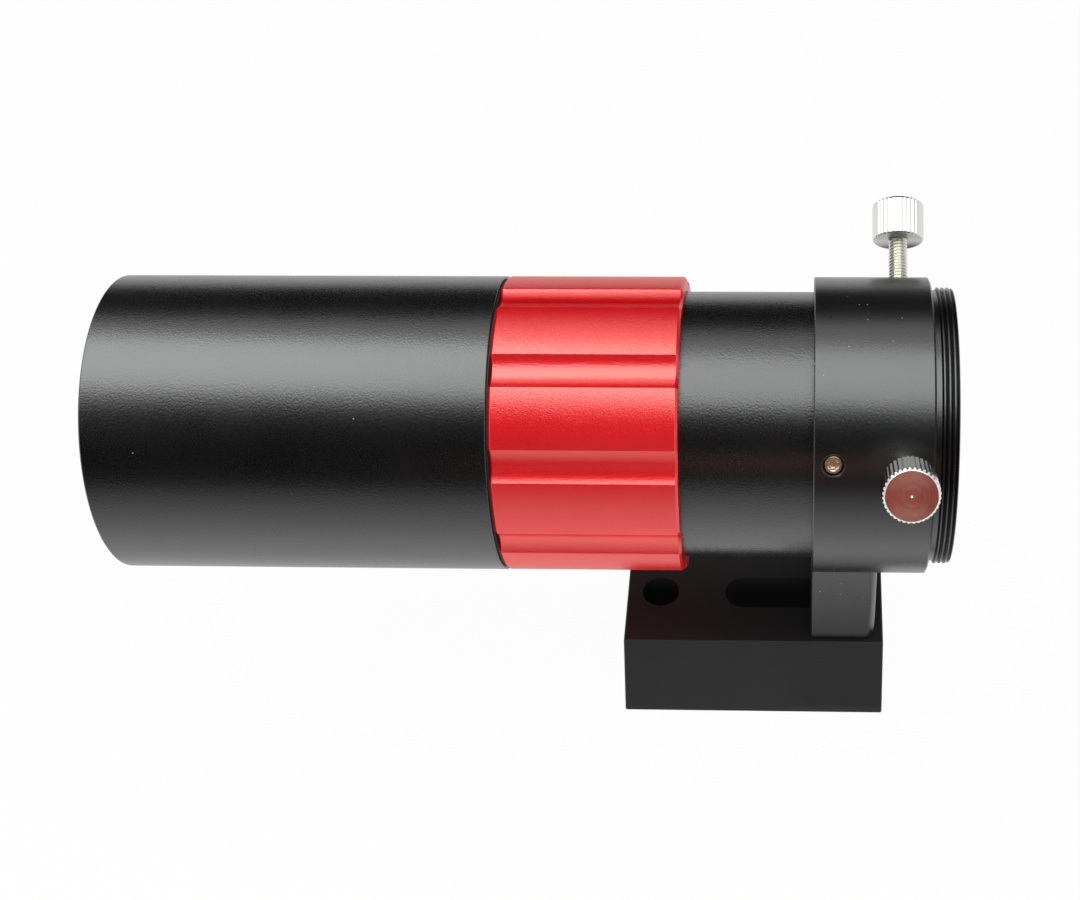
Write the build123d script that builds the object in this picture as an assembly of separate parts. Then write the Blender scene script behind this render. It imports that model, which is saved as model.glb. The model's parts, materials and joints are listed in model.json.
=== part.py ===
"""Guide camera: a small helical-focus guide scope on a dovetail foot.

Millimetres. +X runs along the tube towards the camera end, +Z is up and -Y is the left side seen
from the camera end. The origin is the middle of the foot's underside. Stations are lengths along
the tube, measured from the front face of the rear holder and positive towards the camera end.
"""
import os
from math import cos, pi, radians, sin, sqrt

from build123d import *

# ---- layout ----
AXIS_HEIGHT = 51.5            # tube axis above the foot's underside
HOLDER_FRONT = 9.5            # X of the holder's front face, station 0
RUNNING_GAP = 0.05            # radial clearance of pieces that turn or slide on each other
SEAT_GAP = 0.03               # clearance of pieces that are fixed together
FACE_GAP = 0.03               # end clearance between faces that meet

# ---- draw tube ----
TUBE_R = 20.25
TUBE_BORE_R = 17.2
TUBE_FRONT = -69.0
TUBE_REAR = 5.5
TUBE_THREAD_END = -28.5       # the smooth part of the tube starts here
FOCUS_CREST_R = 19.5
FOCUS_ROOT_R = 19.05
FOCUS_PITCH = 1.0

# ---- front barrel, which holds the lens and shades it ----
BODY_R = 22.5
BARREL_FRONT = -105.4
BARREL_REAR = -46.68
BARREL_FRONT_CHAMFER = 0.2
BARREL_REAR_CHAMFER = 0.1
SHADE_CREST_R = 20.6          # glare ridges inside the dew shield
SHADE_ROOT_R = 21.1
SHADE_RIDGE_PITCH = 1.0
SHADE_RIDGES = 12
CELL_STOP_R = 17.6            # shoulder behind the lens cell
CELL_STOP_LENGTH = 2.0

# ---- lens cell and lenses ----
CELL_FRONT = -91.0
CELL_REAR = -75.0
CELL_R = 20.0
CELL_LIP = 2.0
APERTURE_R = 15.0
LENS_R = 16.0
CROWN_FRONT_RADIUS = 75.0
INNER_RADIUS = 55.0           # the two facing surfaces share this radius
FLINT_REAR_RADIUS = 210.0
CROWN_THICKNESS = 6.5
FLINT_THICKNESS = 2.8
AIR_GAP = 0.6
RETAINER_R = 17.2
RETAINER_LENGTH = 2.2

# ---- lock ring ----
RING_FRONT = -46.4
RING_REAR = -19.3
RING_CHAMFER = 0.4
RING_THREAD_REAR = -33.0      # behind this the ring is bored out to clear the smooth tube
FLUTES = 10
FLUTE_PHASE = 61.5            # degrees from straight up towards the left side
FLUTE_DEPTH = 0.9
FLUTE_WIDTH = 5.1
WASHER_FRONT = -46.65
WASHER_R = 22.05

# ---- rear holder and its post ----
HOLDER_LENGTH = 17.3
HOLDER_REAR_CHAMFER = 0.3
HOLDER_REAR_DROP = 0.55        # the rear chamfer is steeper than it is long
HOLDER_FRONT_CHAMFER = 0.15
CAMERA_BORE_R = 15.92
BORE_CHAMFER = 0.5
NECK_R = 20.6
CAMERA_THREAD_START = 18.17
CAMERA_THREAD_CREST_R = 21.0
CAMERA_THREAD_ROOT_R = 20.55
CAMERA_THREAD_PITCH = 0.75
CAMERA_THREADS = 3
CAMERA_THREAD_END = 20.75      # behind the full turns comes a short lead-in
POST_LENGTH = 10.5
POST_HALF_WIDTH = 9.8
POST_ROUNDING = 1.5
POST_CHAMFER = 0.2            # on its two front edges

# ---- dovetail foot ----
FOOT_FRONT = -31.0
FOOT_REAR = 12.0
FOOT_THICKNESS = 11.4
FOOT_TOP_HALF_WIDTH = 10.6
FOOT_BOTTOM_HALF_WIDTH = 16.6
FOOT_CHAMFER = 0.2
SLOT_FRONT = -14.5
SLOT_REAR = 8.75
SLOT_WIDTH = 6.5
SLOT_LAND = 4.6               # thickness left above the wide part of the slot
SLOT_RECESS_WIDTH = 9.8
FOOT_HOLE_STATION = -25.4
FOOT_HOLE_R = 3.1

# ---- fasteners ----
FOOT_SCREW_STATION = 5.25
FOOT_SCREW_R = 2.5
FOOT_SCREW_LENGTH = 12.0
FOOT_SCREW_HEAD_R = 4.25
FOOT_SCREW_HEAD_HEIGHT = 5.0
FOOT_SCREW_HEX = 4.0
WASHER_THICKNESS = 1.0
FOOT_WASHER_R = 4.5
FOOT_WASHER_HOLE_R = 2.65
GRUB_STATION = 2.8
GRUB_ANGLES = (60.0, -60.0)   # degrees from straight up, positive towards the left side
GRUB_R = 1.5
GRUB_SINK_R = 1.75            # countersink at the mouth of each grub hole
GRUB_SINK_DEPTH = 0.3
GRUB_OUTER = 22.1
GRUB_HEX = 1.5
THUMB_STATION = 13.1
THUMB_R = 1.48
THUMB_ROOT_R = 1.2
THUMB_PITCH = 0.5
THUMB_THREADS = 23
THUMB_LENGTH = 12.0           # shank below the head
THUMB_HOLE_R = THUMB_R + RUNNING_GAP
HEAD_R = 4.0
HEAD_LENGTH = 6.05
HEAD_BEVEL = 0.4               # round the outer face
HEAD_EDGE = 0.12               # round the underside
HEAD_SOCKET = 3.0             # depth of the shank inside the head
KNURL_TEETH = 36
KNURL_DEPTH = 0.15
LEFT_THUMB = ("left", 60.0, 30.8)     # name, angle, radius of the head's underside
RIGHT_THUMB = ("right", -60.0, 29.9)

OPTICAL_AXIS = Axis((0, 0, AXIS_HEIGHT), (1, 0, 0))
FOOT_TOP = FOOT_THICKNESS
CUT = 1.0                     # how far a cutting tool runs past the solid


def turned(outline):
    """Solid of revolution about the tube axis from (station, radius) corners."""
    points = [(HOLDER_FRONT + station, 0, AXIS_HEIGHT + radius) for station, radius in outline]
    return revolve(make_face(Polyline(*points, close=True)), axis=OPTICAL_AXIS)


def turned_upright(outline):
    """Solid of revolution about Z from (height, radius) corners."""
    points = [(radius, 0, height) for height, radius in outline]
    return revolve(make_face(Polyline(*points, close=True)), axis=Axis.Z)


def ridges(start, count, pitch, root, crest):
    """Corners of a row of ridges: each rises from the root to a narrow flat crest and falls back."""
    corners = []
    for turn in range(count):
        foot = start + turn * pitch
        corners += [(foot, root), (foot + 0.375 * pitch, crest), (foot + 0.625 * pitch, crest)]
    return corners + [(start + count * pitch, root)]


def radial(solid, station, angle):
    """Move a solid that stands on +Z from the tube axis to its station and angle."""
    return Pos(HOLDER_FRONT + station, 0, AXIS_HEIGHT) * Rot(X=angle) * solid


def rod(radius, low, high):
    """Upright cylinder between two heights."""
    return Pos(0, 0, (low + high) / 2) * Cylinder(radius, high - low)


def hexagon(across_flats, low, high):
    """Upright hexagonal bar between two heights."""
    outline = RegularPolygon(across_flats / sqrt(3), 6)
    return Pos(0, 0, low) * extrude(outline, high - low)


def sag(curve_radius, radius):
    """Depth of a spherical surface at a distance from its axis."""
    return curve_radius - sqrt(curve_radius ** 2 - radius ** 2)


def lens(front_vertex, front_curve, rear_vertex, rear_curve):
    """Round lens. A positive curve bulges towards the sky in front and towards the camera behind."""

    def surface(vertex, curve, direction, radius):
        bulge = sag(abs(curve), radius) * (1 if curve > 0 else -1)
        return (HOLDER_FRONT + vertex + direction * bulge, 0, AXIS_HEIGHT + radius)

    front = [surface(front_vertex, front_curve, 1, r) for r in (0, LENS_R / 2, LENS_R)]
    rear = [surface(rear_vertex, rear_curve, -1, r) for r in (0, LENS_R / 2, LENS_R)]
    edges = [ThreePointArc(*front), Line(front[2], rear[2]), ThreePointArc(*rear), Line(rear[0], front[0])]
    return revolve(make_face(edges), axis=OPTICAL_AXIS)


# stations inside the lens cell, worked out from the rear lip forwards
LIP_FACE = CELL_REAR - CELL_LIP
FLINT_REAR = LIP_FACE + sag(FLINT_REAR_RADIUS, APERTURE_R)
FLINT_FRONT = FLINT_REAR - FLINT_THICKNESS
CROWN_REAR = FLINT_FRONT - AIR_GAP
CROWN_FRONT = CROWN_REAR - CROWN_THICKNESS
RETAINER_REAR = CROWN_FRONT + sag(CROWN_FRONT_RADIUS, APERTURE_R) - FACE_GAP
SPACER_BORE_R = 15.2


def draw_tube():
    """Tube with the focusing thread in front and a smooth part that sits in the holder."""
    turns = int((TUBE_THREAD_END - TUBE_FRONT) / FOCUS_PITCH)
    thread = ridges(TUBE_FRONT, turns, FOCUS_PITCH, FOCUS_ROOT_R, FOCUS_CREST_R)
    outline = [(TUBE_FRONT, TUBE_BORE_R)] + thread
    outline += [(TUBE_THREAD_END, FOCUS_ROOT_R), (TUBE_THREAD_END, TUBE_R)]
    outline += [(TUBE_REAR, TUBE_R), (TUBE_REAR, TUBE_BORE_R)]
    return turned(outline)


def glare_stop(front, thickness, opening):
    """Thin ring seated in the tube that cuts stray light."""
    outer = TUBE_BORE_R - SEAT_GAP
    rear = front + thickness
    edge = front + thickness / 3
    return turned([(front, outer), (rear, outer), (rear, opening + thickness), (edge, opening), (front, opening)])


def front_barrel():
    """Dew shield, lens seat and focusing nut in one turned piece."""
    cell_bore = CELL_R + RUNNING_GAP
    stop_front = CELL_REAR + RUNNING_GAP
    stop_rear = stop_front + CELL_STOP_LENGTH
    nut = FOCUS_CREST_R + RUNNING_GAP
    ridge_start = BARREL_FRONT + BARREL_FRONT_CHAMFER + 0.5
    shade = ridges(ridge_start, SHADE_RIDGES, SHADE_RIDGE_PITCH, SHADE_ROOT_R, SHADE_CREST_R)
    front_edge = BARREL_FRONT_CHAMFER
    rear_edge = BARREL_REAR_CHAMFER
    outline = [(BARREL_FRONT, BODY_R - front_edge), (BARREL_FRONT + front_edge, BODY_R)]
    outline += [(BARREL_REAR - rear_edge, BODY_R), (BARREL_REAR, BODY_R - rear_edge)]
    outline += [(BARREL_REAR, nut), (stop_rear, nut), (stop_rear, CELL_STOP_R)]
    outline += [(stop_front, CELL_STOP_R), (stop_front, cell_bore), (shade[-1][0] + 0.5, cell_bore)]
    outline += [(shade[-1][0] + 0.5, SHADE_ROOT_R)] + shade[::-1]
    outline += [(BARREL_FRONT, SHADE_ROOT_R)]
    return turned(outline)


def lens_cell():
    """Sleeve that carries both lenses against a rear lip."""
    lens_bore = LENS_R + SEAT_GAP
    recess = RETAINER_R + SEAT_GAP
    shoulder = RETAINER_REAR + FACE_GAP
    flare = CELL_FRONT + 1.5
    outline = [(CELL_FRONT, CELL_R), (CELL_REAR, CELL_R), (CELL_REAR, APERTURE_R + 0.8)]
    outline += [(LIP_FACE, APERTURE_R), (LIP_FACE, lens_bore), (shoulder, lens_bore)]
    outline += [(shoulder, recess), (flare, recess), (CELL_FRONT, recess + 1.2)]
    return turned(outline)


def lens_retaining_ring():
    """Threaded ring that holds the crown lens, with two slots for a pin spanner."""
    front = RETAINER_REAR - RETAINER_LENGTH
    outline = [(front, RETAINER_R), (RETAINER_REAR, RETAINER_R), (RETAINER_REAR, APERTURE_R)]
    outline += [(front, APERTURE_R + 0.8)]
    ring = turned(outline)
    slot = Pos(HOLDER_FRONT + front, 0, AXIS_HEIGHT) * Box(1.6, 1.2, 2 * BODY_R)
    return ring - slot


def lens_spacer():
    """Thin ring between the two lenses at their rims."""
    front = CROWN_REAR - sag(INNER_RADIUS, SPACER_BORE_R) + FACE_GAP
    rear = FLINT_FRONT - sag(INNER_RADIUS, LENS_R) - FACE_GAP
    return turned([(front, SPACER_BORE_R), (front, LENS_R), (rear, LENS_R), (rear, SPACER_BORE_R)])


def lock_ring():
    """Fluted ring with a thread in front and a clearance bore behind."""
    thread = FOCUS_CREST_R + RUNNING_GAP
    clearance = TUBE_R + RUNNING_GAP
    start = HOLDER_FRONT + RING_FRONT
    floor_r = BODY_R - FLUTE_DEPTH
    rim_drop = BODY_R - sqrt(BODY_R ** 2 - (FLUTE_WIDTH / 2) ** 2)
    hollow = FLUTE_DEPTH - rim_drop
    cutter_r = ((FLUTE_WIDTH / 2) ** 2 + hollow ** 2) / (2 * hollow)
    section = Circle(BODY_R)
    for flute in range(FLUTES):
        angle = radians(FLUTE_PHASE + flute * 360 / FLUTES)
        reach = floor_r + cutter_r
        section -= Pos(reach * sin(angle), reach * cos(angle)) * Circle(cutter_r)
    plane = Plane((start, 0, AXIS_HEIGHT), x_dir=(0, -1, 0), z_dir=(1, 0, 0))
    ring = plane * extrude(section, RING_REAR - RING_FRONT)
    ends = ring.faces().sort_by(Axis.X)
    ring = chamfer(ends[-1].edges() + ends[0].edges(), RING_CHAMFER)
    bore = [(RING_FRONT - CUT, 0), (RING_FRONT - CUT, thread), (RING_THREAD_REAR, thread)]
    bore += [(RING_THREAD_REAR, clearance), (RING_REAR + CUT, clearance), (RING_REAR + CUT, 0)]
    return ring - turned(bore)


def lock_washer():
    """Thin friction washer between the lock ring and the barrel."""
    bore = FOCUS_CREST_R + RUNNING_GAP
    rear = RING_FRONT - FACE_GAP
    return turned([(WASHER_FRONT, bore), (WASHER_FRONT, WASHER_R), (rear, WASHER_R), (rear, bore)])


def rear_holder():
    """Clamp ring for the camera with its male thread, and the post that carries it."""
    thread = ridges(CAMERA_THREAD_START, CAMERA_THREADS, CAMERA_THREAD_PITCH, CAMERA_THREAD_ROOT_R,
                    CAMERA_THREAD_CREST_R)
    rear = CAMERA_THREAD_END
    socket = TUBE_R + SEAT_GAP
    outline = [(0, socket), (0, BODY_R - HOLDER_FRONT_CHAMFER), (HOLDER_FRONT_CHAMFER, BODY_R)]
    outline += [(HOLDER_LENGTH - HOLDER_REAR_CHAMFER, BODY_R), (HOLDER_LENGTH, BODY_R - HOLDER_REAR_DROP)]
    outline += [(HOLDER_LENGTH, NECK_R), (CAMERA_THREAD_START, NECK_R)] + thread
    outline += [(rear - 0.12, CAMERA_THREAD_CREST_R - 0.12), (rear, CAMERA_THREAD_CREST_R - 0.3)]
    outline += [(rear, CAMERA_BORE_R + BORE_CHAMFER), (rear - BORE_CHAMFER, CAMERA_BORE_R)]
    outline += [(TUBE_REAR + FACE_GAP, CAMERA_BORE_R), (TUBE_REAR + FACE_GAP, socket)]
    ring = turned(outline).rotate(OPTICAL_AXIS, 180)   # puts the seam of the round face inside the post
    height = AXIS_HEIGHT - FOOT_TOP
    post = Pos(HOLDER_FRONT + POST_LENGTH / 2, 0, FOOT_TOP + height / 2) * Box(
        POST_LENGTH, 2 * POST_HALF_WIDTH, height)
    post = fillet(post.edges().filter_by(Axis.Z).sort_by(Axis.X)[2:], POST_ROUNDING)
    post = chamfer(post.edges().filter_by(Axis.Z).sort_by(Axis.X)[:2], POST_CHAMFER)
    inside = [(-CUT, 0), (-CUT, BODY_R - 1), (POST_LENGTH + CUT, BODY_R - 1), (POST_LENGTH + CUT, 0)]
    holder = ring + (post - turned(inside))
    screw_top = FOOT_TOP + FOOT_SCREW_LENGTH - WASHER_THICKNESS - SLOT_LAND
    holder -= Pos(HOLDER_FRONT + FOOT_SCREW_STATION) * rod(FOOT_SCREW_R + SEAT_GAP, FOOT_TOP - CUT,
                                                           screw_top + 2)
    for _, angle, _ in (LEFT_THUMB, RIGHT_THUMB):
        holder -= radial(rod(THUMB_HOLE_R, CAMERA_BORE_R - CUT, BODY_R + CUT), THUMB_STATION, angle)
    hole = GRUB_R + SEAT_GAP
    sink = [(BODY_R - GRUB_SINK_DEPTH, 0), (BODY_R - GRUB_SINK_DEPTH, hole), (BODY_R, GRUB_SINK_R)]
    sink += [(BODY_R + CUT, GRUB_SINK_R), (BODY_R + CUT, 0)]
    for angle in GRUB_ANGLES:
        holder -= radial(rod(hole, TUBE_R, BODY_R + CUT), GRUB_STATION, angle)
        holder -= radial(turned_upright(sink), GRUB_STATION, angle)
    return holder


def dovetail_foot():
    """Dovetail bar with a slot for its screw and a round hole near its front end."""
    half = FOOT_THICKNESS / 2
    corners = [(-FOOT_BOTTOM_HALF_WIDTH, 0), (FOOT_BOTTOM_HALF_WIDTH, 0)]
    corners += [(FOOT_TOP_HALF_WIDTH, FOOT_TOP), (-FOOT_TOP_HALF_WIDTH, FOOT_TOP)]
    plane = Plane((HOLDER_FRONT + FOOT_FRONT, 0, 0), x_dir=(0, 1, 0), z_dir=(1, 0, 0))
    foot = plane * extrude(make_face(Polyline(*corners, close=True)), FOOT_REAR - FOOT_FRONT)
    foot = chamfer(foot.edges(), FOOT_CHAMFER)
    slot_middle = HOLDER_FRONT + (SLOT_FRONT + SLOT_REAR) / 2
    slot_length = SLOT_REAR - SLOT_FRONT
    slot = SlotOverall(slot_length, SLOT_WIDTH)
    recess = SlotOverall(slot_length + SLOT_RECESS_WIDTH - SLOT_WIDTH, SLOT_RECESS_WIDTH)
    foot -= Pos(slot_middle, 0, -CUT) * extrude(slot, FOOT_THICKNESS + 2 * CUT)
    foot -= Pos(slot_middle, 0, -CUT) * extrude(recess, FOOT_THICKNESS - SLOT_LAND + CUT)
    hole = Pos(HOLDER_FRONT + FOOT_HOLE_STATION, 0, half) * Cylinder(FOOT_HOLE_R, FOOT_THICKNESS + 2 * CUT)
    return foot - hole


def foot_screw():
    """Socket-head screw from below, through the slot into the post."""
    seat = FOOT_TOP - SLOT_LAND - WASHER_THICKNESS
    low = seat - FOOT_SCREW_HEAD_HEIGHT
    top = seat + FOOT_SCREW_LENGTH
    outline = [(low, 0), (low, FOOT_SCREW_HEAD_R - 0.3), (low + 0.3, FOOT_SCREW_HEAD_R)]
    outline += [(seat, FOOT_SCREW_HEAD_R), (seat, FOOT_SCREW_R), (top - 0.6, FOOT_SCREW_R)]
    outline += [(top, FOOT_SCREW_R - 0.6), (top, 0)]
    screw = turned_upright(outline) - hexagon(FOOT_SCREW_HEX, low - CUT, low + 2.6)
    return Pos(HOLDER_FRONT + FOOT_SCREW_STATION) * screw


def foot_screw_washer():
    """Flat washer that spans the slot under the screw's head."""
    top = FOOT_TOP - SLOT_LAND
    washer = rod(FOOT_WASHER_R, top - WASHER_THICKNESS, top) - rod(FOOT_WASHER_HOLE_R, 0, FOOT_TOP)
    return Pos(HOLDER_FRONT + FOOT_SCREW_STATION) * washer


def holder_grub_screws():
    """Two hex-socket grub screws that hold the draw tube in the holder."""
    inner = TUBE_R + FACE_GAP
    outline = [(inner, 0), (inner, GRUB_R - 0.4), (inner + 0.4, GRUB_R)]
    outline += [(GRUB_OUTER - 0.25, GRUB_R), (GRUB_OUTER, GRUB_R - 0.25), (GRUB_OUTER, 0)]
    screw = turned_upright(outline) - hexagon(GRUB_HEX, GRUB_OUTER - 1.1, GRUB_OUTER + CUT)
    return Compound([radial(screw, GRUB_STATION, angle) for angle in GRUB_ANGLES])


def thumbscrew_shank(angle, underside):
    """Threaded shank with a turned-down tip and a plain end inside the head."""
    tip = underside - THUMB_LENGTH
    thread = ridges(tip + 0.5, THUMB_THREADS, THUMB_PITCH, THUMB_ROOT_R, THUMB_R)
    top = underside + HEAD_SOCKET
    outline = [(tip, 0), (tip, THUMB_ROOT_R - 0.2)] + thread + [(top, THUMB_ROOT_R), (top, 0)]
    return radial(turned_upright(outline), THUMB_STATION, angle)


def thumbscrew_head(angle, underside):
    """Knurled head with a bevelled face, bored to take the shank."""
    points = []
    for corner in range(2 * KNURL_TEETH):
        radius = HEAD_R - KNURL_DEPTH * (corner % 2)
        turn = corner * pi / KNURL_TEETH
        points.append((radius * cos(turn), radius * sin(turn)))
    top = underside + HEAD_LENGTH
    star = Pos(0, 0, underside) * extrude(make_face(Polyline(*points, close=True)), HEAD_LENGTH)
    outline = [(underside, 0), (underside, HEAD_R - HEAD_EDGE), (underside + HEAD_EDGE, HEAD_R)]
    outline += [(top - HEAD_BEVEL, HEAD_R), (top, HEAD_R - HEAD_BEVEL), (top, 0)]
    head = star & turned_upright(outline)
    head -= rod(THUMB_ROOT_R + RUNNING_GAP, underside - CUT, underside + HEAD_SOCKET + RUNNING_GAP)
    return radial(head, THUMB_STATION, angle)


def build():
    """Every piece by its name."""
    pieces = {
        "draw_tube": draw_tube(),
        "front_glare_stop": glare_stop(TUBE_FRONT + 0.5, 1.5, 14.2),
        "rear_glare_stop": glare_stop(-15.5, 1.5, 9.5),
        "front_barrel": front_barrel(),
        "lens_cell": lens_cell(),
        "crown_lens": lens(CROWN_FRONT, CROWN_FRONT_RADIUS, CROWN_REAR, INNER_RADIUS),
        "flint_lens": lens(FLINT_FRONT, -INNER_RADIUS, FLINT_REAR, FLINT_REAR_RADIUS),
        "lens_spacer": lens_spacer(),
        "lens_retaining_ring": lens_retaining_ring(),
        "lock_ring": lock_ring(),
        "lock_washer": lock_washer(),
        "rear_holder": rear_holder(),
        "dovetail_foot": dovetail_foot(),
        "foot_screw": foot_screw(),
        "foot_screw_washer": foot_screw_washer(),
        "holder_grub_screws": holder_grub_screws(),
    }
    for side, angle, underside in (LEFT_THUMB, RIGHT_THUMB):
        pieces[f"{side}_thumbscrew_shank"] = thumbscrew_shank(angle, underside)
        pieces[f"{side}_thumbscrew_head"] = thumbscrew_head(angle, underside)
    return pieces


os.makedirs("parts", exist_ok=True)
for node, solid in build().items():
    export_step(solid, f"parts/{node}.step")
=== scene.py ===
"""Dresses the guide camera's frame with detailed pieces, finishes, a small studio and a camera.

Metres, in the frame's own axes: +X along the tube to the camera end, +Z up, -Y the near side.
"""
import json
from math import cos, pi, radians, sin, sqrt

import bpy
import numpy as np
from mathutils import Matrix, Vector


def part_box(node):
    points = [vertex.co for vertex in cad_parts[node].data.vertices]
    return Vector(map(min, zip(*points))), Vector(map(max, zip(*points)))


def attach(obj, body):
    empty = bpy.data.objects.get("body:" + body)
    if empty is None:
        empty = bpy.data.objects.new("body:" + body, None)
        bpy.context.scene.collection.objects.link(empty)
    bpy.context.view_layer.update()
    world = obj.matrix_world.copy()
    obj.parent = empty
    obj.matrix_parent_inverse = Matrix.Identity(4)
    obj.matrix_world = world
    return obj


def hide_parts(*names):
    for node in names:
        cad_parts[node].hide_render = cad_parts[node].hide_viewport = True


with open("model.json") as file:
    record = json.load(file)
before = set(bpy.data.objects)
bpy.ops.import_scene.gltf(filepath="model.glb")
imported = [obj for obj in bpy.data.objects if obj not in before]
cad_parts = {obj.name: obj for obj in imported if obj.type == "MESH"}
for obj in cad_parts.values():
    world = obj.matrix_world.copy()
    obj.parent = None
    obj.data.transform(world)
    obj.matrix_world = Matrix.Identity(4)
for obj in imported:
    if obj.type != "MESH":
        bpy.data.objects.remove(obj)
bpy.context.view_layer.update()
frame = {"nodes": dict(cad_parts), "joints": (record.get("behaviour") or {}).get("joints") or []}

MM = 0.001

# ---- places taken from the frame ----
RING_LOW, RING_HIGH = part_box("lock_ring")
BARREL_LOW, BARREL_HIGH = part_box("front_barrel")
TUBE_LOW, TUBE_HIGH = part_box("draw_tube")
AXIS_Z = (RING_LOW.z + RING_HIGH.z) / 2
BODY_R = (RING_HIGH.y - RING_LOW.y) / 2
TUBE_R = (TUBE_HIGH.y - TUBE_LOW.y) / 2
JOINTS = {joint["name"]: joint for joint in frame["joints"]}

ROUNDING_LEAD = 1.08          # how far the points beside a rounding stand off, over its own distance

# ---- lock ring ----
FLUTES = 10
FLUTE_PHASE = radians(61.5)   # from straight up towards the near side
FLUTE_DEPTH = 0.9 * MM
FLUTE_WIDTH = 5.1 * MM
FLUTE_EDGE = 0.13 * MM        # rounding where a flute meets the land
RING_CHAMFER = 0.4 * MM
RING_THREAD_BORE = 19.55 * MM
RING_CLEAR_BORE = 20.3 * MM
RING_THREAD_LENGTH = 13.4 * MM

# ---- barrel and tube ----
BARREL_FRONT_CHAMFER = 0.2 * MM
BARREL_REAR_CHAMFER = 0.1 * MM
NUT_BORE = 19.55 * MM
CELL_BORE = 20.05 * MM
CELL_STOP_FRONT = 30.45 * MM  # shoulder behind the lens cell, from the barrel's front
CELL_STOP_REAR = 32.45 * MM
CELL_STOP_R = 17.6 * MM
GLARE_START = 0.7 * MM
GLARE_TURNS = 12
GLARE_PITCH = 1.0 * MM
GLARE_ROOT = 21.1 * MM
GLARE_CREST = 20.6 * MM
FOCUS_PITCH = 1.0 * MM
FOCUS_CREST = 19.5 * MM
FOCUS_ROOT = 19.05 * MM
FOCUS_LENGTH = 40.5 * MM
TUBE_BORE = 17.2 * MM

# ---- screws ----
HEAD_R = 4.0 * MM
HEAD_LENGTH = 6.05 * MM
HEAD_BEVEL = 0.42 * MM        # round the outer face
HEAD_EDGE = 0.22 * MM         # round the underside
KNURL_TEETH = 36
KNURL_DEPTH = 0.15 * MM
FACE_PITCH = 0.20 * MM        # turning rings on the head's face
FACE_WAVE = 0.0007 * MM
DIMPLE_R = 0.22 * MM          # centre mark of the face
DIMPLE_DEPTH = 0.12 * MM
SHANK_LENGTH = 12.0 * MM
SHANK_PITCH = 0.5 * MM
SHANK_CREST = 1.48 * MM
SHANK_ROOT = 1.2 * MM
GRUB_STATION = 12.3 * MM      # along X
GRUB_ANGLE = radians(60)
GRUB_R = 1.5 * MM
GRUB_OUTER = 22.1 * MM
GRUB_LENGTH = 1.8 * MM
GRUB_HEX = 1.5 * MM

# ---- lenses ----
CROWN_CURVES = (75 * MM, 55 * MM)     # front and rear; a face with a positive curve bulges outwards
FLINT_CURVES = (-55 * MM, 210 * MM)
LENS_BEVEL = 0.15 * MM

BLACK = (0.002, 0.002, 0.002)
MIRRORS = ("glossy",)         # the only rays that see the studio's flags, felts and cards
SKY_FILL = 0.36               # the world's light on the object


# ---------------------------------------------------------------- surfaces

def rounded(corners, steps=6):
    """Closed outline from rows of (station, radius, rounding, weight).

    Each corner becomes a parabola that leaves one side and joins the next at the corner's rounding
    distance, with one more point a little before it and one after it, so that flats stay flat.
    """
    rows = np.array(corners, float)
    before = np.roll(rows, 1, axis=0)
    after = np.roll(rows, -1, axis=0)
    back = np.hypot(*(before - rows)[:, :2].T)
    ahead = np.hypot(*(after - rows)[:, :2].T)
    share = np.minimum(rows[:, 2] / np.maximum(np.minimum(back, ahead), 1e-9), 0.45)[:, None, None]
    reach = np.minimum(back, ahead)[:, None, None]
    t = np.linspace(0, 1, steps)[None, :, None]
    p = rows[:, None, :]
    unit_back = (before - rows)[:, None, :] / back[:, None, None]
    unit_ahead = (after - rows)[:, None, :] / ahead[:, None, None]
    start = p + unit_back * share * reach
    end = p + unit_ahead * share * reach
    arc = (1 - t) ** 2 * start + 2 * t * (1 - t) * p + t ** 2 * end
    lead = p + unit_back * share * reach * ROUNDING_LEAD
    trail = p + unit_ahead * share * reach * ROUNDING_LEAD
    return np.concatenate([lead, arc, trail], axis=1).reshape(-1, rows.shape[1])


def skin(name, grid, closed_rows=True, poles=(None, None)):
    """Mesh object over a grid of points whose columns go all the way round.

    Rows close on each other when closed_rows is set; otherwise each end row is closed by a fan to
    its pole. Faces point outwards when the rows run along the axis on the outside.
    """
    rows, columns, _ = grid.shape
    points = grid.reshape(-1, 3)
    index = np.arange(rows * columns).reshape(rows, columns)
    across = np.roll(index, -1, axis=1)
    if closed_rows:
        low, high = index, np.roll(index, -1, axis=0)
        low_next, high_next = across, np.roll(across, -1, axis=0)
    else:
        low, high, low_next, high_next = index[:-1], index[1:], across[:-1], across[1:]
    quads = np.stack([low, low_next, high_next, high], axis=-1).reshape(-1, 4)
    fans = []
    if poles[0] is not None:
        tip = len(points)
        points = np.vstack([points, poles[0]])
        fans.append(np.stack([np.full(columns, tip), across[0], index[0]], axis=-1))
    if poles[1] is not None:
        tip = len(points)
        points = np.vstack([points, poles[1]])
        fans.append(np.stack([np.full(columns, tip), index[-1], across[-1]], axis=-1))
    faces = quads.tolist()
    for fan in fans:
        faces += fan.tolist()
    mesh = bpy.data.meshes.new(name)
    mesh.from_pydata(points.tolist(), [], faces)
    mesh.shade_smooth()
    mesh.validate()
    piece = bpy.data.objects.new(name, mesh)
    bpy.context.scene.collection.objects.link(piece)
    return piece


def about_tube(x, radius, angle):
    """Points at x, at a radius from the tube axis and an angle from +Y towards +Z."""
    x, radius, angle = np.broadcast_arrays(x, radius, angle)
    return np.stack([x, radius * np.cos(angle), AXIS_Z + radius * np.sin(angle)], axis=-1)


def about_axis(base, axis, height, radius, angle):
    """Points at a height along an axis through base, at a radius from it and an angle round it."""
    axis = Vector(axis).normalized()
    side = axis.cross(Vector((1, 0, 0))).normalized()
    other = axis.cross(side)
    height, radius, angle = np.broadcast_arrays(height, radius, angle)
    round_it = radius[..., None] * (np.cos(angle)[..., None] * np.array(side)
                                    + np.sin(angle)[..., None] * np.array(other))
    return np.array(base) + height[..., None] * np.array(axis) + round_it


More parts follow.
